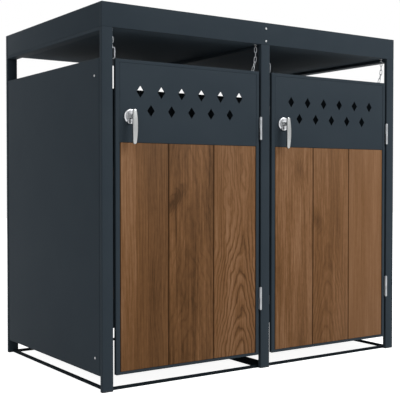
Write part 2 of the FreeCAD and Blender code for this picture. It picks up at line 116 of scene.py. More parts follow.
# Selects the edges whose middle and direction are wanted
def pickEdges(wanted):
    mesh = startPick("EDGE")
    ends = [(edge, *[corner.co for corner in edge.verts]) for edge in mesh.edges]
    pick([edge for edge, a, b in ends if wanted((a + b) / 2, (b - a).normalized())])


def pickVertices(wanted):
    mesh = startPick("VERT")
    pick([v for v in mesh.verts if wanted(v.co)])


def pickSharp(degrees):
    startPick("EDGE")
    bpy.ops.mesh.edges_select_sharp(sharpness=math.radians(degrees))


def roundPicked(width, segments):
    bpy.ops.mesh.bevel(offset=width, segments=segments)


def roundEdges(piece, width, segments, wanted):
    edit(piece)
    pickEdges(wanted)
    roundPicked(width, segments)
    leaveEdit()


def cutAt(place, normal):
    bpy.ops.mesh.select_all(action="SELECT")
    bpy.ops.mesh.bisect(plane_co=place, plane_no=normal)


def extrudeBy(move):
    bpy.ops.mesh.extrude_region_move(TRANSFORM_OT_translate={"value": move})


def applyModifier(piece, kind, **settings):
    activate(piece)
    modifier = piece.modifiers.new(kind, kind)
    for key, value in settings.items():
        setattr(modifier, key, value)
    bpy.ops.object.modifier_apply(modifier=modifier.name)


def thicken(piece, wall):
    applyModifier(piece, "SOLIDIFY", thickness=wall, offset=-1, use_even_offset=True)


def softenEdges(piece, width, segments=2, sharper=40):
    applyModifier(piece, "BEVEL", width=width, segments=segments, limit_method="ANGLE",
                  angle_limit=math.radians(sharper))


# How far a cutter reaches past the faces that it goes through, and united pieces into each other
past = 0.01
bite = 0.001


def cutOut(piece, cutter):
    applyModifier(piece, "BOOLEAN", operation="DIFFERENCE", object=cutter, solver="EXACT")
    bpy.data.objects.remove(cutter)


def unite(piece, *others):
    for other in others:
        applyModifier(piece, "BOOLEAN", operation="UNION", object=other, solver="EXACT")
        bpy.data.objects.remove(other)
    return piece


def joinPieces(pieces):
    activate(pieces[0])
    for piece in pieces:
        piece.select_set(True)
    bpy.ops.object.join()
    return pieces[0]


# A copy with its own mesh, turned and then moved
def copyPiece(piece, move=(0, 0, 0), turn=(0, 0, 0)):
    activate(piece)
    bpy.ops.object.duplicate()
    copy = bpy.context.object
    copy.location = move
    copy.rotation_euler = turn
    applyPlace()
    return copy


# Joins the pieces if they are a list, and lets the result stand for its node. Unless it has a name
# of its own it is named like the node, in camel case
def finishPiece(piece, node, material, body="store_frame", name=""):
    piece = joinPieces(piece) if isinstance(piece, list) else piece
    first, *others = node.split("_")
    piece.name = name or first + "".join(word.title() for word in others)
    activate(piece)
    bpy.ops.object.shade_smooth_by_angle(angle=math.radians(35))
    piece.data.materials.clear()
    piece.data.materials.append(material)
    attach(piece, body)
    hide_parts(node)


# A hollow section, open at both ends of the axis that along names
def addTube(low, high, along, wall, corner):
    piece = addBlock(low, high)
    edit(piece)
    pickFaces(lambda c, n: abs(n[along]) > 0.9)
    bpy.ops.mesh.delete(type="ONLY_FACE")
    pickEdges(lambda c, d: abs(d[along]) > 0.9)
    roundPicked(corner, 4)
    leaveEdit()
    thicken(piece, wall)
    return piece


# A folded tray, open on the side that openWay points to, with its upright bends wider if wanted
def addTray(low, high, openWay, wall, fold, bend=0.0):
    piece = addBlock(low, high)
    openWay = Vector(openWay)
    middle = (Vector(low) + Vector(high)) / 2
    edit(piece)
    pickFaces(lambda c, n: n.dot(openWay) > 0.9)
    bpy.ops.mesh.delete(type="FACE")
    if bend > 0:
        pickEdges(lambda c, d: abs(d.z) > 0.9 and (c - middle).dot(openWay) < 0)
        roundPicked(bend, 8)
    pickSharp(60)
    roundPicked(fold, 3)
    leaveEdit()
    thicken(piece, wall)
    return piece


# A hexagonal nut with chamfered corners and a bore, along y
def addNut(centre, across, thickness, bore, chamfer=0.0005):
    x, y, z = centre
    nut = addRod((x, y, z), (x, y + thickness, z), across / math.sqrt(3), 6, roll=math.radians(30))
    softenEdges(nut, chamfer, 2, 50)
    cutOut(nut, addRod((x, y - past, z), (x, y + thickness + past, z), bore))
    return nut


# Camera
cameraValues = {
    "place": (-1.94985, -2.8109, 0.683865),
    "turn": -34.42,
    "down": 1.268,
    "lens": 76.43,
    "sensor": 36,
    "sees": 50,
}


def placeData(data, place, turn):
    placed = bpy.data.objects.new(data.name, data)
    bpy.context.scene.collection.objects.link(placed)
    placed.location = place
    placed.rotation_euler = turn
    return placed


def addCamera(values):
    data = bpy.data.cameras.new("Camera")
    data.lens = values["lens"]
    data.sensor_width = values["sensor"]
    data.clip_end = values["sees"]
    turn = (math.radians(90 - values["down"]), 0, math.radians(values["turn"]))
    bpy.context.scene.camera = placeData(data, values["place"], turn)


addCamera(cameraValues)


# Light and floor
lightValues = {
    "sky": 0.50,
    "lamps": {
        "Right light": {"place": (4.6, -6.8, 6.8), "power": 690.0, "size": 4.5},
        "Left light": {"place": (-6.4, -3.4, 5.2), "power": 80.0, "size": 4.0},
        "Rear light": {"place": (1.4, 7.5, 3.6), "power": 150.0, "size": 5.0},
    },
    "target": (0, 0, 0.6),
    "floorColour": (0.62, 0.62, 0.62),
    "floorGlow": 0.93,
    "floorSize": 24.0,
}


def addAreaLight(name, values, target):
    data = bpy.data.lights.new(name, "AREA")
    data.energy = values["power"]
    data.shape = "SQUARE"
    data.size = values["size"]
    towards = Vector(target) - Vector(values["place"])
    lamp = placeData(data, values["place"], towards.to_track_quat("-Z", "Y").to_euler())
    lamp.visible_camera = False


# Sets a node's inputs to values, or feeds them from other nodes' outputs
def feed(tree, node, inputs):
    for name, value in inputs.items():
        if isinstance(value, bpy.types.NodeSocket):
            tree.links.new(value, node.inputs[name])
        else:
            node.inputs[name].default_value = value


def addNode(tree, kind, inputs, **settings):
    node = tree.nodes.new("ShaderNode" + kind)
    for key, value in settings.items():
        setattr(node, key, value)
    feed(tree, node, inputs)
    return node


def addMath(tree, operation, *values):
    return addNode(tree, "Math", dict(enumerate(values)), operation=operation).outputs[0]


def addSum(tree, first, *others):
    for other in others:
        first = addMath(tree, "ADD", first, other)
    return first


# True for the rays that see the background: straight from the camera, in metal or through glass
def addSeenRays(tree):
    path = addNode(tree, "LightPath", {}).outputs
    straight = addMath(tree, "MAXIMUM", path["Is Camera Ray"], path["Is Glossy Ray"])
    return addMath(tree, "MAXIMUM", straight, path["Is Transmission Ray"])


def addBackground(tree, strength):
    return addNode(tree, "Background", {"Color": (1, 1, 1, 1), "Strength": strength}).outputs[0]


def addWorld(values):
    world = bpy.data.worlds.new("Studio")
    bpy.context.scene.world = world
    world.use_nodes = True
    tree = world.node_tree
    tree.nodes.clear()
    sky, white = addBackground(tree, values["sky"]), addBackground(tree, 1.0)
    mix = addNode(tree, "MixShader", {0: addSeenRays(tree), 1: sky, 2: white})
    addNode(tree, "OutputWorld", {"Surface": mix.outputs[0]})


def addFloor(values):
    bpy.ops.mesh.primitive_plane_add(size=values["floorSize"])
    floor = bpy.context.object
    floor.name = "floor"
    material = bpy.data.materials.new("Pale floor")
    material.use_nodes = True
    tree = material.node_tree
    tree.nodes.clear()
    matte = addNode(tree, "BsdfDiffuse", {"Color": (*values["floorColour"], 1)})
    strength = addMath(tree, "MULTIPLY", addSeenRays(tree), values["floorGlow"])
    glow = addNode(tree, "Emission", {"Color": (1, 1, 1, 1), "Strength": strength})
    both = addNode(tree, "AddShader", {0: matte.outputs[0], 1: glow.outputs[0]})
    addNode(tree, "OutputMaterial", {"Surface": both.outputs[0]})
    floor.data.materials.append(material)


addWorld(lightValues)
for name, lampValues in lightValues["lamps"].items():
    addAreaLight(name, lampValues, lightValues["target"])
addFloor(lightValues)
bpy.context.scene.view_settings.view_transform = "Standard"
print("camera, light and floor are set")


# Materials

def newMaterial(name):
    material = bpy.data.materials.new(name)
    material.use_nodes = True
    return material, material.node_tree, material.node_tree.nodes["Principled BSDF"]


def addNoise(tree, place, scale, detail=3.0, rough=0.55):
    inputs = {"Vector": place, "Scale": scale, "Detail": detail, "Roughness": rough}
    return addNode(tree, "TexNoise", inputs).outputs["Fac"]


def addRamp(tree, source, stops):
    ramp = addNode(tree, "ValToRGB", {"Fac": source})
    elements = ramp.color_ramp.elements
    while len(elements) < len(stops):
        elements.new(0.5)
    for element, (position, colour) in zip(elements, stops):
        element.position = position
        element.color = (*colour, 1)
    return ramp.outputs["Color"]


def addRange(tree, source, low, high, fromLow=0.0, fromHigh=1.0):
    inputs = {"From Min": fromLow, "From Max": fromHigh, "To Min": low, "To Max": high}
    return addNode(tree, "MapRange", {"Value": source, **inputs}).outputs["Result"]


def addBump(tree, height, distance, strength):
    inputs = {"Height": height, "Distance": distance, "Strength": strength}
    return addNode(tree, "Bump", inputs).outputs["Normal"]


def objectPlace(tree, scale=(1, 1, 1), move=(0, 0, 0), turn=(0, 0, 0), kind="POINT"):
    source = addNode(tree, "TexCoord", {}).outputs["Object"]
    inputs = {"Vector": source, "Location": move, "Rotation": turn, "Scale": scale}
    return addNode(tree, "Mapping", inputs, vector_type=kind).outputs["Vector"]


# Fine-textured matt powder coat
def makePowderCoat(name, colour, lighter, gloss=0.05):
    material, tree, shader = newMaterial(name)
    place = objectPlace(tree)
    cloud = addNoise(tree, place, scale=6.0, detail=2.0)
    grain = addNoise(tree, place, scale=900.0, detail=2.0)
    feed(tree, shader, {
        "Base Color": addRamp(tree, cloud, [(0.3, colour), (0.7, lighter)]),
        "Roughness": addRange(tree, grain, low=0.60, high=0.72),
        "Specular IOR Level": gloss,
        "Normal": addBump(tree, grain, distance=0.0003, strength=0.25),
    })
    return material


# Metal with fine scratches, which run along the axis that is scaled least
def makeMetal(name, colour, darker, rough, scale, bump, metallic=1.0):
    material, tree, shader = newMaterial(name)
    streak = addNoise(tree, objectPlace(tree, scale), scale=1.0, detail=4.0, rough=0.6)
    feed(tree, shader, {
        "Base Color": addRamp(tree, streak, [(0.25, darker), (0.75, colour)]),
        "Roughness": addRange(tree, streak, *rough),
        "Metallic": metallic,
        "Normal": addBump(tree, streak, distance=0.0002, strength=bump),
    })
    return material


# Matt black rubber or plastic
def makeBlackMoulding(name, colour, lighter, rough, scale):
    material, tree, shader = newMaterial(name)
    grain = addNoise(tree, objectPlace(tree), scale)
    feed(tree, shader, {
        "Base Color": addRamp(tree, grain, [(0.3, colour), (0.7, lighter)]),
        "Roughness": addRange(tree, grain, *rough),
        "Normal": addBump(tree, grain, distance=0.0003, strength=0.3),
    })
    return material


powderCoat = makePowderCoat(
    "Anthracite powder coat", (0.0270, 0.0375, 0.0475), (0.0300, 0.0410, 0.0510))
# A darker copy of the coat for the ground rails: painted shade, for the shadow they lie in low under
# the doors and walls
shadedRailCoat = makePowderCoat(
    "Rail powder coat in painted shade", (0.0080, 0.0120, 0.0150), (0.0100, 0.0145, 0.0180), gloss=0.02)
# A lighter copy of the coat for the ceiling sheet: painted light, brightening the dim inside of the
# store
litCeilingCoat = makePowderCoat(
    "Ceiling powder coat in painted light", (0.0490, 0.0670, 0.0830), (0.0530, 0.0720, 0.0880), gloss=0.01)
satinChrome = makeMetal(
    "Satin chrome", (0.37, 0.38, 0.38), (0.33, 0.34, 0.34),
    rough=(0.28, 0.36), scale=(900, 900, 60), bump=0.04)
brightChrome = makeMetal(
    "Bright chrome", (0.61, 0.62, 0.64), (0.51, 0.52, 0.54),
    rough=(0.26, 0.34), scale=(500, 60, 500), bump=0.03)
hingeSteel = makeMetal(
    "Hinge steel", (0.40, 0.415, 0.43), (0.32, 0.335, 0.35),
    rough=(0.28, 0.42), scale=(700, 700, 90), bump=0.08)
zincPlate = makeMetal(
    "Zinc plate", (0.52, 0.53, 0.54), (0.36, 0.37, 0.38),
    rough=(0.35, 0.55), scale=(160, 160, 160), bump=0.06)
chainZinc = makeMetal(
    "Chain zinc", (0.58, 0.61, 0.64), (0.46, 0.49, 0.52),
    rough=(0.35, 0.50), scale=(500, 500, 500), bump=0.06, metallic=0.35)
# A darker copy of the chain zinc for the right bay's chains: painted shade
shadedChainZinc = makeMetal(
    "Chain zinc in painted shade", (0.30, 0.32, 0.34), (0.24, 0.26, 0.28),
    rough=(0.40, 0.55), scale=(500, 500, 500), bump=0.06, metallic=0.35)
footPlastic = makeBlackMoulding(
    "Foot plastic", (0.010, 0.010, 0.011), (0.016, 0.016, 0.017), rough=(0.44, 0.56), scale=700)
stopRubber = makeBlackMoulding(
    "Stop rubber", (0.012, 0.012, 0.012), (0.020, 0.020, 0.020), rough=(0.69, 0.81), scale=500)


# Each board's grain: rings run up both sides of the heart line at x and meet in an arch, which is
# pointed where the point is small. Spread says how fast they follow across, rise how fast upwards,
# top up to what height, ring how far apart, figure how strongly they show and wave how much they
# wander. Grain is the fine streaks' strength. Then come the board's tone, the edge and tone of its
# sapwood, a darker knot with its tilt in degrees, and the seed
plainBoard = {
    "point": 0.01, "spread": 1.0, "top": 2.0, "wave": 0.0020,
    "sapEdge": -2.0, "sap": 0.0, "knotSize": (0.05, 0.20), "knotTilt": 0,
}
boardValues = {
    "left_door_board_1": {
        **plainBoard, "grain": 0.62, "heart": -0.80, "rise": 0.010, "ring": 0.0110, "figure": 0.50,
        "tone": 0.31, "sapEdge": -0.5438, "sap": 0.26,
        "knot": (-0.47, 0.30), "knotSize": (0.04, 0.16), "knotDark": 0.10, "seed": 1.0},
    "left_door_board_2": {
        **plainBoard, "grain": 0.9, "heart": -0.33, "point": 0.02, "spread": 0.50, "rise": 0.060,
        "ring": 0.0090, "figure": 0.24, "wave": 0.0030, "tone": 0.33,
        "knot": (-0.392, 0.618), "knotSize": (0.028, 0.085), "knotTilt": 38, "knotDark": 0.42,
        "seed": 2.3},
    "left_door_board_3": {
        **plainBoard, "grain": 0.65, "heart": -0.111, "point": 0.022, "spread": 0.70, "rise": 0.130,
        "top": 0.44, "ring": 0.0088, "figure": 0.85, "wave": 0.0026, "tone": 0.545,
        "knot": (-0.14, 0.60), "knotDark": -0.08, "seed": 3.7},
    "right_door_board_1": {
        **plainBoard, "grain": 0.85, "heart": -0.10, "rise": 0.020, "ring": 0.0120, "figure": 0.40,
        "tone": 0.55, "knot": (0.17, 0.72), "knotSize": (0.05, 0.07), "knotTilt": -30,
        "knotDark": 0.16, "seed": 4.9},
    "right_door_board_2": {
        **plainBoard, "grain": 0.6, "heart": 0.306, "point": 0.020, "spread": 0.70, "rise": 0.120,
        "top": 0.36, "ring": 0.0092, "figure": 0.34, "wave": 0.0026, "tone": 0.50,
        "knot": (0.250, 0.540), "knotSize": (0.035, 0.085), "knotTilt": -34, "knotDark": 0.30,
        "seed": 6.1},
    "right_door_board_3": {
        **plainBoard, "grain": 0.36, "heart": 0.95, "rise": 0.010, "ring": 0.0100, "figure": 0.12,
        "tone": 0.63, "knot": (0.52, 0.40), "knotDark": 0.0, "seed": 7.7},
}
# What all boards share. Waves bend the rings and streaks shade the wood, each with its scale across
# and along the board, its own seed, its detail and its strength, and the finest streaks come first
woodValues = {
    "dark": (0.052, 0.0200, 0.0026),
    "middle": (0.150, 0.0675, 0.0228),
    "light": (0.285, 0.1520, 0.0780),
    "ringBands": ((0.0, 0.05), (0.16, 0.50), (0.66, 0.70), (0.86, 0.40), (1.0, 0.05)),
    "waves": ((9, 5.0, 0, 2.0, 3.0), (26, 13, 3, 3.0, 1.0)),
    "streaks": ((240, 5, 0, 2.0, 0.22), (90, 3.5, 1, 2.0, 0.13),
                (120, 40, 5, 3.0, 0.12), (20, 1.6, 2, 2.0, 0.30)),
    "knotBend": 0.02,
    "topBlend": 0.12,
    "topFade": 0.15,
    "sideFade": (0.0020, 0.0068),
    "fadedShare": 0.4,
    # Painted shade at the joints: how dark each board's side edges get, and how far from the edge it
    # starts and ends
    "paintedJointShade": -0.45,
    "paintedJointShadeFade": (0.0035, 0.0012),
    "sapWander": (0, 3, 4, 2.0, 0.002),
    "sapFade": 0.002,
    "rough": (0.66, 0.52),
    "gloss": 0.15,
    "ringRelief": 0.5,
    "relief": 0.0004,
    "reliefShare": 0.3,
}


# Noise, and the same noise about zero and as strong as wanted
def addFibre(tree, layer, seed, share):
    across, along, ownSeed, detail, strength = layer
    seed += ownSeed
    place = objectPlace(tree, (across, across, along), (seed, seed * 2, seed * 3))
    noise = addNoise(tree, place, 1.0, detail, 0.6)
    share *= strength
    return noise, addRange(tree, noise, -share, share, 0.25, 0.75)


# A soft tilted oval, 1 in its middle and 0 at its edge
def addSpot(tree, values):
    (x, z), (width, height) = values["knot"], values["knotSize"]
    turn = (0, math.radians(values["knotTilt"]), 0)
    place = objectPlace(tree, (width, 1000, height), (x, 0, z), turn, "TEXTURE")
    length = addNode(tree, "VectorMath", {0: place}, operation="LENGTH")
    return addRange(tree, length.outputs["Value"], 1.0, 0.0)


# The shade of the rings about zero, which fades above their top and far from the heart line
def addRings(tree, place, knot, values, shared):
    across = addMath(tree, "SUBTRACT", place["X"], values["heart"])
    across = addMath(tree, "MULTIPLY", across, values["spread"])
    squares = addMath(tree, "MULTIPLY_ADD", across, across, values["point"] ** 2)
    height = addMath(tree, "SMOOTH_MIN", place["Z"], values["top"], shared["topBlend"])
    distance = addMath(tree, "MULTIPLY_ADD", height, values["rise"], addMath(tree, "SQRT", squares))
    waves = [addFibre(tree, layer, values["seed"], values["wave"])[1] for layer in shared["waves"]]
    distance = addSum(tree, distance, *waves, addMath(tree, "MULTIPLY", knot, shared["knotBend"]))
    rings = addMath(tree, "FRACT", addMath(tree, "DIVIDE", distance, values["ring"]))
    bands = addRamp(tree, rings, [(edge, (shade,) * 3) for edge, shade in shared["ringBands"]])
    figure = addRange(tree, place["Z"], values["figure"], values["figure"] * shared["fadedShare"],
                      values["top"], values["top"] + shared["topFade"])
    sides = addRange(tree, squares, 1.0, shared["fadedShare"], *shared["sideFade"])
    figure = addMath(tree, "MULTIPLY", figure, sides)
    return bands, addMath(tree, "MULTIPLY", addMath(tree, "SUBTRACT", bands, 0.5), figure)


# Painted shade along each board's side edges, where the joints to the next board and to the frame lie
# in shadow
def addJointShade(tree, place, low, high, shared):
    middle, half = (low.x + high.x) / 2, (high.x - low.x) / 2
    fromMiddle = addMath(tree, "ABSOLUTE", addMath(tree, "SUBTRACT", place["X"], middle))
    start, end = shared["paintedJointShadeFade"]
    return addRange(tree, fromMiddle, 0.0, shared["paintedJointShade"], half - start, half - end)


# Sapwood left of its edge, which wanders a little
def addSapwood(tree, place, values, shared):
    wander = addFibre(tree, shared["sapWander"], values["seed"], 1.0)[1]
    fromEdge = addMath(tree, "SUBTRACT", addMath(tree, "ADD", place["X"], wander), values["sapEdge"])
    return addRange(tree, fromEdge, values["sap"], 0.0, -shared["sapFade"], shared["sapFade"])


def makeBoardWood(name, low, high, values, shared):
    material, tree, shader = newMaterial(name)
    place = addNode(tree, "SeparateXYZ", {0: objectPlace(tree)}).outputs
    knot = addSpot(tree, values)
    bands, ringShade = addRings(tree, place, knot, values, shared)
    streaks = [addFibre(tree, layer, values["seed"], values["grain"]) for layer in shared["streaks"]]
    fine = streaks[0][0]
    # The board's tone also takes the painted shade at its joints
    total = addSum(tree, ringShade, *[streak[1] for streak in streaks],
                   addMath(tree, "MULTIPLY", knot, -values["knotDark"]),
                   addJointShade(tree, place, low, high, shared),
                   addSapwood(tree, place, values, shared), values["tone"])
    stops = [(0.0, shared["dark"]), (0.5, shared["middle"]), (1.0, shared["light"])]
    relief = addMath(tree, "ADD", fine, addMath(tree, "MULTIPLY", bands, shared["ringRelief"]))
    feed(tree, shader, {
        "Base Color": addRamp(tree, total, stops),
        "Roughness": addRange(tree, fine, *shared["rough"]),
        "Specular IOR Level": shared["gloss"],
        "Normal": addBump(tree, relief, shared["relief"], shared["reliefShare"]),
    })
    return material


print("materials are made")


# Posts, with their wall and corner, and the caps that they stand on
postValues = {"wall": 0.0015, "corner": 0.002, "edge": 0.0003, "capCorner": 0.002, "capEdge": 0.0004}


def addPosts(values):
    caps = []
    for row in ("front", "rear"):
        for side in ("left", "centre", "right"):
            node = row + "_post_" + side
            low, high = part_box(node)
            post = addTube(low, high, 2, values["wall"], values["corner"])
            softenEdges(post, values["edge"], 1, 60)
            finishPiece(post, node, powderCoat)
            cap = addBlock((low.x, low.y, 0), (high.x, high.y, low.z))
            roundEdges(cap, values["capCorner"], 4, lambda c, d: abs(d.z) > 0.9)
            softenEdges(cap, values["capEdge"], 2)
            caps.append(cap)
    finishPiece(caps, "post_caps", footPlastic)


addPosts(postValues)


# Rails on the floor and under the roof
railValues = {"wall": 0.0012, "corner": 0.0012, "fold": 0.0012}


def addRail(node, along, coat, values):
    rail = addTube(*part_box(node), along, values["wall"], values["corner"])
    finishPiece(rail, node, coat)


def addRails(values):
    # The ground rails take the coat with painted shade, the top rails the plain coat
    for side, along in (("left", 1), ("right", 1), ("front", 0), ("rear", 0)):
        addRail("ground_rail_" + side, along, shadedRailCoat, values)
    rail = addTray(*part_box("ground_rail_centre"), (0, 0, -1), values["wall"], values["fold"])
    finishPiece(rail, "ground_rail_centre", shadedRailCoat)
    for side in ("left", "centre", "right"):
        addRail("top_rail_" + side, 1, powderCoat, values)


addRails(railValues)
print("posts and rails are built")


# Roof box and walls
sheetValues = {
    "wall": 0.0012,
    "fold": 0.0014,
    "sideBend": 0.008,
    "rearBend": 0.0025,
    "roofCorner": 0.002,
    "roofEdge": 0.0004,
}


def addRoof(values):
    for side in ("front", "rear", "left", "right"):
        node = "fascia_" + side
        fascia = addTray(*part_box(node), (0, 0, 1), values["wall"], values["fold"])
        finishPiece(fascia, node, powderCoat)
    roof = addBlock(*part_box("roof_sheet"))
    roundEdges(roof, values["roofCorner"], 4, lambda c, d: abs(d.z) > 0.9)
    softenEdges(roof, values["roofEdge"], 2)
    finishPiece(roof, "roof_sheet", powderCoat)


def addWalls(values):
    for side, inward in (("left", 1), ("right", -1)):
        for place, openWay in (("side", (inward, 0, 0)), ("rear", (0, -1, 0))):
            node = place + "_panel_" + side
            bend = values[place + "Bend"]
            panel = addTray(*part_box(node), openWay, values["wall"], values["fold"], bend)
            finishPiece(panel, node, powderCoat)


addRoof(sheetValues)
addWalls(sheetValues)
print("roof and walls are built")


# Screws with a low round head and a hexagonal socket
screwValues = {
    "headRadius": 0.004,
    "headHeight": 0.002,
    "headRound": 0.0011,
    "shankRadius": 0.002,
    "shankLength": 0.006,
    "socketAcross": 0.0032,
    "socketDepth": 0.0013,
    "sidePanelInset": 0.034,
    "sidePanelEnd": 0.055,
    "fasciaHeights": (0.013, 0.0585),
    "fasciaOffset": 0.002,
    "roofInset": 0.008,
    "roofColumns": 5,
    "roofRows": 3,
    "boardEdge": 0.030,
}


# One screw at the origin: its head looks along -y and its shank runs along +y
def addScrewModel(values):
    head = addRod((0, 0, 0), (0, -values["headHeight"], 0), values["headRadius"], sides=20)
    edit(head)
    pickEdges(lambda c, d: near(c.y, -values["headHeight"]))
    roundPicked(values["headRound"], 4)
    pickFaces(lambda c, n: n.y > 0.9)
    bpy.ops.mesh.inset(thickness=values["headRadius"] - values["shankRadius"])
    extrudeBy((0, values["shankLength"], 0))
    leaveEdit()
    top = -values["headHeight"]
    radius = values["socketAcross"] / math.sqrt(3)
    cutOut(head, addRod((0, top - past, 0), (0, top + values["socketDepth"], 0), radius, sides=6))
    return head


def frameScrewPlaces(values):
    low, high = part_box("roof_sheet")
    frontX = (low.x + high.x) / 2 + values["fasciaOffset"]
    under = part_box("fascia_front")[0].z
    places = [((frontX, low.y, under + rise), (0, 0, 0)) for rise in values["fasciaHeights"]]
    inset = values["roofInset"]
    left, right = low.x + inset, high.x - inset
    front, back = low.y + inset, high.y - inset
    down = (-math.pi / 2, 0, 0)
    for column in range(values["roofColumns"]):
        x = left + (right - left) * column / (values["roofColumns"] - 1)
        places += [((x, front, high.z), down), ((x, back, high.z), down)]
    for row in range(1, values["roofRows"] + 1):
        y = front + (back - front) * row / (values["roofRows"] + 1)
        places += [((left, y, high.z), down), ((right, y, high.z), down)]
    for side, turn in (("left", -math.pi / 2), ("right", math.pi / 2)):
        panelLow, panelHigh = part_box("side_panel_" + side)
        x = panelLow.x if side == "left" else panelHigh.x
        y = panelLow.y + values["sidePanelInset"]
        for z in (panelLow.z + values["sidePanelEnd"], panelHigh.z - values["sidePanelEnd"]):
            places.append(((x, y, z), (0, 0, turn)))
    return places


screwModel = addScrewModel(screwValues)
screws = [copyPiece(screwModel, place, turn) for place, turn in frameScrewPlaces(screwValues)]
finishPiece(screws, "frame_screws", zincPlate)
print("frame screws are in")


# Doors
doorValues = {
    "sheet": 0.0012,
    "handleStile": 0.0155,
    "hingeStile": 0.0123,
    "topRim": 0.011,
    "bottomRim": 0.009,
    "corner": 0.003,
    "fold": 0.0010,
    "headerBend": 0.0015,
    "headerFold": 0.0006,
    "diamondWidth": 0.029,
    "diamondHeight": 0.040,
    "diamondPitch": 0.0814,
    "diamondCount": 6,
    "diamondDrop": 0.0915,
    "diamondRowStep": 0.0612,
    "collarHole": 0.00905,
    "boardEdge": 0.0012,
    "boardEnd": 0.0005,
    "battenHeight": 0.030,
    "battenEnds": 0.020,
    "battenCorner": 0.003,
    "battenEdge": 0.0003,
    "handleInset": 0.055,
    "handleDrop": 0.1855,
    "nutAcross": 0.028,
    "nutThickness": 0.005,
}


def addDoorFrame(bay, values):
    node = bay + "_door_frame"
    low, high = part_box(node)
    x0, x1 = low.x + values["handleStile"], high.x - values["hingeStile"]
    z0, z1 = low.z + values["bottomRim"], high.z - values["topRim"]
    ring = addBlock(low, high)
    edit(ring)
    pickEdges(lambda c, d: abs(d.y) > 0.9)
    roundPicked(values["corner"], 5)
    pickFaces(lambda c, n: n.y > 0.9)
    bpy.ops.mesh.delete(type="FACE")
    for x in (x0, x1):
        cutAt((x, 0, 0), (1, 0, 0))
    for z in (z0, z1):
        cutAt((0, 0, z), (0, 0, 1))
    pickFaces(lambda c, n: n.y < -0.9 and x0 < c.x < x1 and z0 < c.z < z1)
    extrudeBy((0, high.y - low.y, 0))
    bpy.ops.mesh.delete(type="FACE")
    pickEdges(lambda c, d: near(c.y, low.y) and isRim(c, low, high, x0, x1, z0, z1))
    roundPicked(values["fold"], 3)
    leaveEdit()
    thicken(ring, values["sheet"])
    finishPiece(ring, node, powderCoat, bay + "_door")


# True for the outer and inner outline of a door's front face
def isRim(c, low, high, x0, x1, z0, z1):
    corner = doorValues["corner"]
    fromSide, fromEnd = min(c.x - low.x, high.x - c.x), min(c.z - low.z, high.z - c.z)
    outer = near(fromSide, 0) or near(fromEnd, 0) or (fromSide < corner and fromEnd < corner)
    inner = ((near(c.x, x0) or near(c.x, x1)) and z0 < c.z < z1) or (
        (near(c.z, z0) or near(c.z, z1)) and x0 < c.x < x1)
    return outer or inner


def handlePlace(bay):
    low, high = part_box(bay + "_door_frame")
    return low.x + doorValues["handleInset"], high.z - doorValues["handleDrop"]


def addDoorHeader(bay, values):
    node = bay + "_door_header"
    low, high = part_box(node)
    panel = addTray(low, high, (0, 1, 0), values["sheet"], values["headerFold"],
                    values["headerBend"])
    middle = (low.x + high.x) / 2
    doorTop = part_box(bay + "_door_frame")[1].z
    front, back = low.y - values["sheet"], low.y + 2 * values["sheet"]
    cutters = []
    for row in range(2):
        count = values["diamondCount"] - row
        z = doorTop - values["topRim"] - values["diamondDrop"] - row * values["diamondRowStep"]
        for column in range(count):
            x = middle + (column - (count - 1) / 2) * values["diamondPitch"]
            diamond = addRod((0, front, 0), (0, back, 0), 1, sides=4)
            diamond.scale = (values["diamondWidth"] / 2, 1, values["diamondHeight"] / 2)
            diamond.location = (x, 0, z)
            applyPlace()
            cutters.append(diamond)
    x, z = handlePlace(bay)
    cutters.append(addRod((x, front, z), (x, back, z), values["collarHole"]))
    cutOut(panel, joinPieces(cutters))
    finishPiece(panel, node, powderCoat, bay + "_door")


def addBoards(bay, values):
    for number in (1, 2, 3):
        node = bay + "_door_board_" + str(number)
        low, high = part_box(node)
        board = addBlock(low, high)
        roundEdges(board, values["boardEdge"], 3, lambda c, d: abs(d.z) > 0.9 and near(c.y, low.y))
        softenEdges(board, values["boardEnd"], 2, 50)
        wood = makeBoardWood(node.replace("_", " "), low, high, boardValues[node], woodValues)
        finishPiece(board, node, wood, bay + "_door")


def battenHeights(bay, values):
    fromEnd = values["battenEnds"] + values["battenHeight"] / 2
    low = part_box(bay + "_door_frame")[0].z + values["bottomRim"] + fromEnd
    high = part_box(bay + "_door_header")[0].z - fromEnd
    return low, (low + high) / 2, high


def addBattens(bay, values):
    low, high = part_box(bay + "_door_battens")
    bars = []
    for z in battenHeights(bay, values):
        half = values["battenHeight"] / 2
        bar = addBlock((low.x, low.y, z - half), (high.x, high.y, z + half))
        roundEdges(bar, values["battenCorner"], 4, lambda c, d: abs(d.y) > 0.9)
        softenEdges(bar, values["battenEdge"], 2)
        bars.append(bar)
    finishPiece(bars, bay + "_door_battens", powderCoat, bay + "_door")


def addDoorFasteners(bay, values):
    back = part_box(bay + "_door_battens")[1].y
    pieces = []
    for number in (1, 2, 3):
        low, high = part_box(bay + "_door_board_" + str(number))
        for z in battenHeights(bay, values):
            for x in (low.x + screwValues["boardEdge"], high.x - screwValues["boardEdge"]):
                pieces.append(copyPiece(screwModel, (x, back, z), (0, 0, math.pi)))
    x, z = handlePlace(bay)
    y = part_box(bay + "_door_header")[0].y + values["sheet"]
    pieces.append(addNut((x, y, z), values["nutAcross"], values["nutThickness"],
                         values["collarHole"]))
    finishPiece(pieces, bay + "_door_fasteners", zincPlate, bay + "_door")


for bay in ("left", "right"):
    addDoorFrame(bay, doorValues)
    addDoorHeader(bay, doorValues)
    addBoards(bay, doorValues)
    addBattens(bay, doorValues)
    addDoorFasteners(bay, doorValues)
bpy.data.objects.remove(screwModel)
print("doors are built")


# Hinges: the door's knuckle stands on the post's knuckle, round one pin
hingeValues = {
    "inset": 0.206,
    "length": 0.080,
    "knuckle": 0.0046,
    "axisInset": 0.005,
    "proud": 0.005,
    "knuckleRound": 0.0004,
    "leaf": 0.0015,
    "leafFold": 0.0012,
    "leafRound": 0.0025,
    "gap": 0.0003,
    "pin": 0.0022,
    "pinHead": 0.0036,
    "pinHeadHeight": 0.0016,
    "pinHeadRound": 0.0009,
}


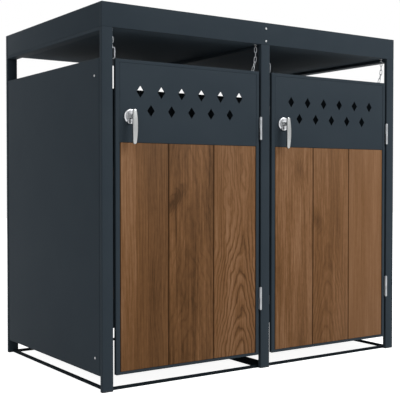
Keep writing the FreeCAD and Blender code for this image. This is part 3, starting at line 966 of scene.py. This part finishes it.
# A knuckle with its leaf, which lies flat on the side face at faceX and runs back to reach
def addLeaf(x, faceX, way, front, reach, z0, z1, values):
    y = front - values["proud"]
    x0, x1 = sorted((faceX, faceX + way * values["leaf"]))
    strip = addBlock((x0, y, z0), (x1, reach, z1))
    edit(strip)
    pickEdges(lambda c, d: abs(d.z) > 0.9 and near(c.y, y) and near(c.x, faceX))
    roundPicked(values["leafFold"], 4)
    pickEdges(lambda c, d: abs(d.x) > 0.9 and near(c.y, reach))
    roundPicked(values["leafRound"], 3)
    leaveEdit()
    barrel = addRod((x, y, z0), (x, y, z1), values["knuckle"])
    roundEdges(barrel, values["knuckleRound"], 2, lambda c, d: abs(d.z) < 0.1)
    return unite(barrel, strip)


def addPin(x, y, low, high, values):
    head = values["pinHeadHeight"]
    pin = addRod((x, y, low - head), (x, y, high + head), values["pinHead"], sides=24)
    roundEdges(pin, values["pinHeadRound"], 3, lambda c, d: abs(d.z) < 0.1)
    cutOut(pin, addRod((x, y, low), (x, y, high), values["pinHead"] * 2, sides=24))
    return unite(pin, addRod((x, y, low - bite), (x, y, high + bite), values["pin"], sides=24))


def addHinges(values):
    pins, postLeaves = [], []
    front, postBack = [corner.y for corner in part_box("front_post_left")]
    for bay, post in (("left", "front_post_centre"), ("right", "front_post_right")):
        doorLow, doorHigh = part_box(bay + "_door_frame")
        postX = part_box(post)[0].x
        x = postX - values["axisInset"]
        y = front - values["proud"]
        doorLeaves = []
        for middle in (doorLow.z + values["inset"], doorHigh.z - values["inset"]):
            low, high = middle - values["length"] / 2, middle + values["length"] / 2
            under, over = middle - values["gap"] / 2, middle + values["gap"] / 2
            doorLeaves.append(addLeaf(x, doorHigh.x, 1, front, doorHigh.y, over, high, values))
            postLeaves.append(addLeaf(x, postX, -1, front, postBack, low, under, values))
            pins.append(addPin(x, y, low, high + values["gap"], values))
        node = bay + "_door_hinge_leaves"
        finishPiece(doorLeaves, node, hingeSteel, bay + "_door")
    finishPiece(postLeaves, "hinge_post_leaves", hingeSteel, name="postHingeLeaves")
    finishPiece(pins, "hinge_pins", hingeSteel)


addHinges(hingeValues)
print("hinges are built")


# Handles
handleValues = {
    "rosette": 0.025,
    "rosetteThick": 0.007,
    "rosetteRound": 0.0045,
    "grooveInset": 0.0035,
    "grooveWidth": 0.0005,
    "grooveDepth": 0.0003,
    "collar": 0.009,
    "collarLength": 0.010,
    "neck": 0.0095,
    "neckTip": 0.0070,
    "neckGap": 0.0003,
    "neckRound": 0.0008,
    "reach": 0.035,
    "thick": 0.008,
    "bow": 0.0035,
    "above": 0.0235,
    "below": 0.0915,
    "width": 0.0184,
    "widestDown": 0.025,
    "topRadius": 0.0068,
    "tipRadius": 0.0064,
    "round": 0.0024,
    "slices": 32,
    "spindle": 0.004,
    "play": 0.00005,
    "lockAcross": 0.008,
    "lockDown": 0.017,
    "boss": 0.008,
    "bossHeight": 0.005,
    "bossRound": 0.0015,
    "plug": 0.005,
    "plugRound": 0.0004,
    "keyWidth": 0.0012,
    "keyHeight": 0.005,
    "keyDepth": 0.006,
    "camWidth": 0.016,
    "camThick": 0.003,
    "camEdge": 0.0004,
    "camNut": 0.013,
    "camNutThick": 0.004,
}


def addRosette(bay, values):
    x, z = handlePlace(bay)
    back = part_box(bay + "_door_header")[0].y
    front = back - values["rosetteThick"]
    disc = addRod((x, back, z), (x, front, z), values["rosette"], sides=64)
    edit(disc)
    pickEdges(lambda c, d: near(c.y, front))
    roundPicked(values["rosetteRound"], 8)
    pickFaces(lambda c, n: n.y < -0.999)
    slope, width = values["grooveDepth"], values["grooveWidth"]
    for inset, depth in ((values["grooveInset"], 0), (slope, -slope), (width, 0), (slope, slope)):
        bpy.ops.mesh.inset(thickness=inset, depth=depth)
    leaveEdit()
    end = back + values["collarLength"]
    collar = addRod((x, back - bite, z), (x, end, z), values["collar"])
    lockX, lockZ = x - values["lockAcross"], z - values["lockDown"]
    bossFront = front - values["bossHeight"]
    boss = addRod((lockX, back, lockZ), (lockX, bossFront, lockZ), values["boss"], sides=40)
    roundEdges(boss, values["bossRound"], 5, lambda c, d: near(c.y, bossFront))
    unite(disc, collar, boss)
    spindle, plug = values["spindle"] + values["play"], values["plug"] + values["play"]
    cutOut(disc, addRod((x, front - past, z), (x, end + past, z), spindle))
    cutOut(disc, addRod((lockX, bossFront - past, lockZ), (lockX, end + past, lockZ), plug))
    finishPiece(disc, bay + "_rosette", brightChrome, bay + "_door")


def addLockPlug(bay, values):
    low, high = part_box(bay + "_lock_plug")
    x, z = (low.x + high.x) / 2, (low.z + high.z) / 2
    plug = addRod((x, high.y, z), (x, low.y, z), values["plug"])
    roundEdges(plug, values["plugRound"], 3, lambda c, d: near(c.y, low.y))
    halfWidth, halfHeight = values["keyWidth"] / 2, values["keyHeight"] / 2
    cutOut(plug, addBlock((x - halfWidth, low.y - past, z - halfHeight),
                          (x + halfWidth, low.y + values["keyDepth"], z + halfHeight)))
    finishPiece(plug, bay + "_lock_plug", hingeSteel, bay + "_lock")


# A bar along z with round ends: a round disc whose lower half is drawn down and narrowed
def addRoundBar(x, topZ, tipZ, topRadius, tipRadius, y0, y1):
    bar = addRod((x, y1, topZ), (x, y0, topZ), topRadius, sides=48)
    edit(bar)
    pickVertices(lambda v: v.z < topZ and not near(v.z, topZ))
    share = tipRadius / topRadius
    bpy.ops.transform.resize(value=(share, 1, share), center_override=(x, 0, topZ))
    bpy.ops.transform.translate(value=(0, 0, tipZ - topZ))
    leaveEdit()
    return bar


# Half the blade's width at a height: the curve through both round ends and the widest place
def bladeHalfWidth(height, heights, widths):
    total = 0
    for own, width in zip(heights, widths):
        for other in heights:
            if other != own:
                width *= (height - other) / (own - other)
        total += width
    return total


# The blade: a round bar sliced across, swelled slice by slice and bowed away from the door
def addBlade(x, z, front, values):
    topZ = z + values["above"] - values["topRadius"]
    tipZ = z - values["below"] + values["tipRadius"]
    high, low = z + values["above"], z - values["below"]
    back = front + values["thick"]
    blade = addRoundBar(x, topZ, tipZ, values["topRadius"], values["tipRadius"], front, back)
    edit(blade)
    for step in range(1, values["slices"]):
        cutAt((0, 0, low + (high - low) * step / values["slices"]), (0, 0, 1))
    leaveEdit()
    levels = {}
    for vertex in blade.data.vertices:
        level = round(vertex.co.z, 6)
        levels[level] = max(levels.get(level, 0), abs(vertex.co.x - x))
    heights = (topZ, z - values["widestDown"], tipZ)
    widths = (values["topRadius"], values["width"] / 2, values["tipRadius"])
    edit(blade)
    for level, halfWidth in levels.items():
        pickVertices(lambda v: abs(v.z - level) < 0.000002)
        if tipZ < level < topZ:
            swell = bladeHalfWidth(level, heights, widths) / halfWidth
            bpy.ops.transform.resize(value=(swell, 1, 1), center_override=(x, 0, level))
        away = (level - (high + low) / 2) / ((high - low) / 2)
        bpy.ops.transform.translate(value=(0, values["bow"] * away * away, 0))
    pickSharp(60)
    roundPicked(values["round"], 6)
    leaveEdit()
    return blade


def addLever(bay, values):
    x, z = handlePlace(bay)
    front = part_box("front_post_left")[0].y - values["reach"]
    blade = addBlade(x, z, front, values)
    inside = front + (values["thick"] + values["bow"]) / 2
    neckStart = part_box(bay + "_door_header")[0].y - values["rosetteThick"] - values["neckGap"]
    neck = addRod((x, neckStart, z), (x, inside, z), values["neck"], 40, values["neckTip"])
    roundEdges(neck, values["neckRound"], 3, lambda c, d: near(c.y, neckStart))
    spindle = addRod((x, inside, z), (x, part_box(bay + "_lever")[1].y, z), values["spindle"])
    unite(blade, unite(neck, spindle))
    finishPiece(blade, bay + "_lever", satinChrome, bay + "_handle")


def addCam(bay, values):
    x, z = handlePlace(bay)
    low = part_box(bay + "_cam")[0]
    half = values["camWidth"] / 2
    y1 = low.y + values["camThick"]
    plate = addRoundBar(x, z, low.z + half, half, half, low.y, y1)
    softenEdges(plate, values["camEdge"], 2, 50)
    bore = values["spindle"] + values["play"]
    cutOut(plate, addRod((x, low.y - past, z), (x, y1 + past, z), bore))
    nut = addNut((x, y1, z), values["camNut"], values["camNutThick"], bore)
    finishPiece([plate, nut], bay + "_cam", zincPlate, bay + "_handle")


for bay in ("left", "right"):
    addRosette(bay, handleValues)
    addLockPlug(bay, handleValues)
    addLever(bay, handleValues)
    addCam(bay, handleValues)
print("handles are built")


# Chains: an eye under the roof, links and a snap hook. Each link leans towards the middle of
# its bay and is turned about the vertical, and the hook's angles are the last
chainValues = {
    "linkWire": 0.0024,
    "linkLength": 0.023,
    "linkWidth": 0.0105,
    "behindPost": 0.008,
    "eyeWire": 0.0022,
    "eyeRadius": 0.0042,
    "eyeBase": 0.006,
    "eyeBaseThick": 0.0016,
    "eyeBaseRound": 0.0005,
    "hookWire": 0.0032,
    "hookLength": 0.040,
    "hookWidth": 0.015,
    "sleeveTop": 0.0080,
    "sleeveFoot": -0.0104,
    "sleeveWall": 0.0004,
    "sleeveRound": 0.0005,
    "rivetRadius": 0.0011,
    "rivetReach": 0.0035,
    "rivetRise": 0.003,
    "gap": 0.0003,
    "handleInset": 0.007,
    "hingeInset": 0.008,
    "handleLean": (6, 5, 9, 0),
    "handleTurn": (60, -30, 60, -30),
    "hingeLean": (0, 0, 8, 20, 18, 6, 0),
    "hingeTurn": (-38, 52, -38, 24, -66, 24, -66),
}


# An oblong ring of round wire in the xz plane: half turns by spin, joined by straight runs
def addOblongRing(kind, values, sides=12, steps=10):
    wire = values[kind + "Wire"]
    radius = (values[kind + "Width"] - wire) / 2
    straight = values[kind + "Length"] / 2 - wire / 2 - radius
    bpy.ops.mesh.primitive_circle_add(vertices=sides, radius=wire / 2, location=(radius, 0, straight))
    ring = bpy.context.object
    applyPlace()
    edit(ring)
    bpy.ops.mesh.select_all(action="SELECT")
    bpy.ops.mesh.spin(steps=steps, angle=math.pi, center=(0, 0, straight), axis=(0, 1, 0))
    extrudeBy((0, 0, -2 * straight))
    bpy.ops.mesh.spin(steps=steps, angle=math.pi, center=(0, 0, -straight), axis=(0, 1, 0))
    extrudeBy((0, 0, 2 * straight))
    bpy.ops.mesh.select_all(action="SELECT")
    bpy.ops.mesh.remove_doubles(threshold=0.00002)
    bpy.ops.mesh.normals_make_consistent()
    leaveEdit()
    return ring


# The gate is a sleeve on the hook's free side with a rivet across its foot
def addHookGate(hook, values):
    x = (values["hookWidth"] - values["hookWire"]) / 2
    foot, radius = values["sleeveFoot"], values["hookWire"] / 2 + values["sleeveWall"]
    sleeve = addRod((x, 0, foot), (x, 0, values["sleeveTop"]), radius, sides=20)
    roundEdges(sleeve, values["sleeveRound"], 2, lambda c, d: abs(d.z) < 0.1)
    reach, z = values["rivetReach"], foot + values["rivetRise"]
    rivet = addRod((x, -reach, z), (x, reach, z), values["rivetRadius"], sides=16)
    unite(hook, sleeve, rivet)


linkModel = addOblongRing("link", chainValues)
hookModel = addOblongRing("hook", chainValues, sides=16, steps=12)
addHookGate(hookModel, chainValues)


# A copy turned about the vertical, then leaned along x and put at its place
def hungCopy(model, turn, lean, place):
    ring = copyPiece(model, turn=(0, 0, math.radians(turn)))
    ring.location = place
    ring.rotation_euler = (0, -math.radians(lean), 0)
    applyPlace()
    return ring


def addChain(bay, end, x, inward, values):
    leans, turns = values[end + "Lean"], values[end + "Turn"]
    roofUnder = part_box("chain_eyes")[1].z
    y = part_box("front_post_left")[1].y + values["behindPost"]
    eyeZ = roofUnder - values["eyeBaseThick"] - values["eyeRadius"]
    held = Vector((x, y, eyeZ - values["eyeRadius"]))
    upperWire = values["eyeWire"]
    pieces = []
    for number, (lean, turn) in enumerate(zip(leans, turns), 1):
        model, kind = (hookModel, "hook") if number == len(leans) else (linkModel, "link")
        length, wire = values[kind + "Length"], values[kind + "Wire"]
        angle = math.radians(inward * lean)
        down = Vector((math.sin(angle), 0, -math.cos(angle)))
        seat = (upperWire + wire) / 2 + values["gap"]
        middle = held + down * (length / 2 - wire / 2 - seat)
        pieces.append(hungCopy(model, turn, inward * lean, middle))
        held = middle + down * (length / 2 - wire / 2)
        upperWire = wire
    node = bay + "_bay_chain_" + end + "_side"
    # The right bay's chains take the darker zinc, which is painted shade
    finish = chainZinc if bay == "left" else shadedChainZinc
    finishPiece(pieces, node, finish, node, bay + end.title() + "SideChain")
    return addEye(x, y, eyeZ, roofUnder, turns[0], values)


def addEye(x, y, z, roofUnder, turn, values):
    bpy.ops.mesh.primitive_torus_add(
        major_radius=values["eyeRadius"],
        minor_radius=values["eyeWire"] / 2,
        major_segments=28,
        minor_segments=12,
        location=(x, y, z),
        rotation=(0, math.pi / 2, math.radians(turn)),
    )
    ring = bpy.context.object
    applyPlace()
    under = roofUnder - values["eyeBaseThick"]
    base = addRod((x, y, roofUnder), (x, y, under), values["eyeBase"])
    roundEdges(base, values["eyeBaseRound"], 2, lambda c, d: near(c.z, under))
    return unite(base, ring)


def addChains(values):
    eyes = []
    for bay, post, endPost in (("left", "front_post_left", "front_post_centre"),
                               ("right", "front_post_centre", "front_post_right")):
        start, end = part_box(post)[1].x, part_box(endPost)[0].x
        eyes.append(addChain(bay, "handle", start + values["handleInset"], 1, values))
        eyes.append(addChain(bay, "hinge", end - values["hingeInset"], -1, values))
    finishPiece(eyes, "chain_eyes", zincPlate)


addChains(chainValues)
bpy.data.objects.remove(linkModel)
bpy.data.objects.remove(hookModel)
print("chains are built")


# Rubber stops behind the posts
stopValues = {"width": 0.040, "height": 0.036, "plate": 0.003, "edge": 0.020, "reach": 0.009,
              "rises": (0.250, 0.640), "round": 0.0008}


def addStops(values):
    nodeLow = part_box("door_stops")[0]
    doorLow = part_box("left_door_frame")[0].z
    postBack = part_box("front_post_left")[1].y
    stops = []
    for post in ("front_post_left", "front_post_centre"):
        x0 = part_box(post)[1].x - values["edge"]
        x1 = x0 + values["width"]
        for rise in values["rises"]:
            z0 = doorLow + rise
            end = (x1, postBack + values["plate"], z0 + values["height"])
            stop = addBlock((x0, postBack, z0), end)
            edit(stop)
            cutAt((x1 - values["reach"], 0, 0), (1, 0, 0))
            pickFaces(lambda c, n: n.y < -0.9 and c.x > x1 - values["reach"])
            extrudeBy((0, nodeLow.y - postBack, 0))
            leaveEdit()
            softenEdges(stop, values["round"], 3)
            stops.append(stop)
    finishPiece(stops, "door_stops", stopRubber)


addStops(stopValues)


# The nodes that keep their own shape get their finish
# The ceiling sheet takes the coat with painted light
keptFinishes = {"ceiling_sheet": litCeilingCoat, "roof_rib": powderCoat, "panel_brackets": zincPlate}
for node, material in keptFinishes.items():
    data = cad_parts[node].data
    data.materials.clear()
    data.materials.append(material)
print("the last finishes are on")
